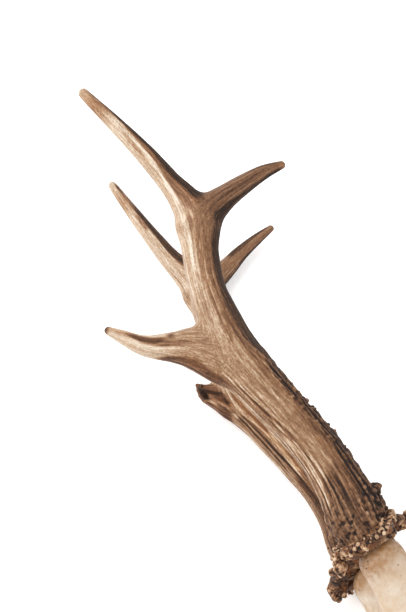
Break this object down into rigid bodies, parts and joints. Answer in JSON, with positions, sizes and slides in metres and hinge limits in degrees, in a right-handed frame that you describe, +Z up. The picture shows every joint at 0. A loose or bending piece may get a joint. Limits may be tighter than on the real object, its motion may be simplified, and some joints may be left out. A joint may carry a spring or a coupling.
{
  "type": "roe deer antlers on skull cap",
  "caption": "Pair of roe deer antlers with knobbly burrs and ridged beams on a sawn skull cap, one front tine broken short; lies on its side.",
  "frame": {"origin": "middle of the footprint, on the surface that the pair lies on", "axes": "+Y along the antlers from the sawn skull cap to the tips, +Z up as the pair lies on its right antler, +X towards the back of the head"},
  "size_m": [0.1134, 0.305, 0.1083],
  "materials": {
    "bone": "dry pale bone, finely pored, stained brown under the burrs",
    "antler_beam": "dry antler, ridged, tan with dark brown grooves",
    "antler_tine": "antler rubbed smooth, satin, ivory towards the tips"
  },
  "bodies": {
    "root": {"skull_cap": "bone", "left_lower_beam": "antler_beam", "left_front_tine": "antler_tine", "left_upper_beam": "antler_beam", "left_top_tine": "antler_tine", "left_rear_tine": "antler_tine", "right_lower_beam": "antler_beam", "right_front_tine": "antler_tine", "right_upper_beam": "antler_beam", "right_top_tine": "antler_tine", "right_rear_tine": "antler_tine"}
  },
  "joints": []
}
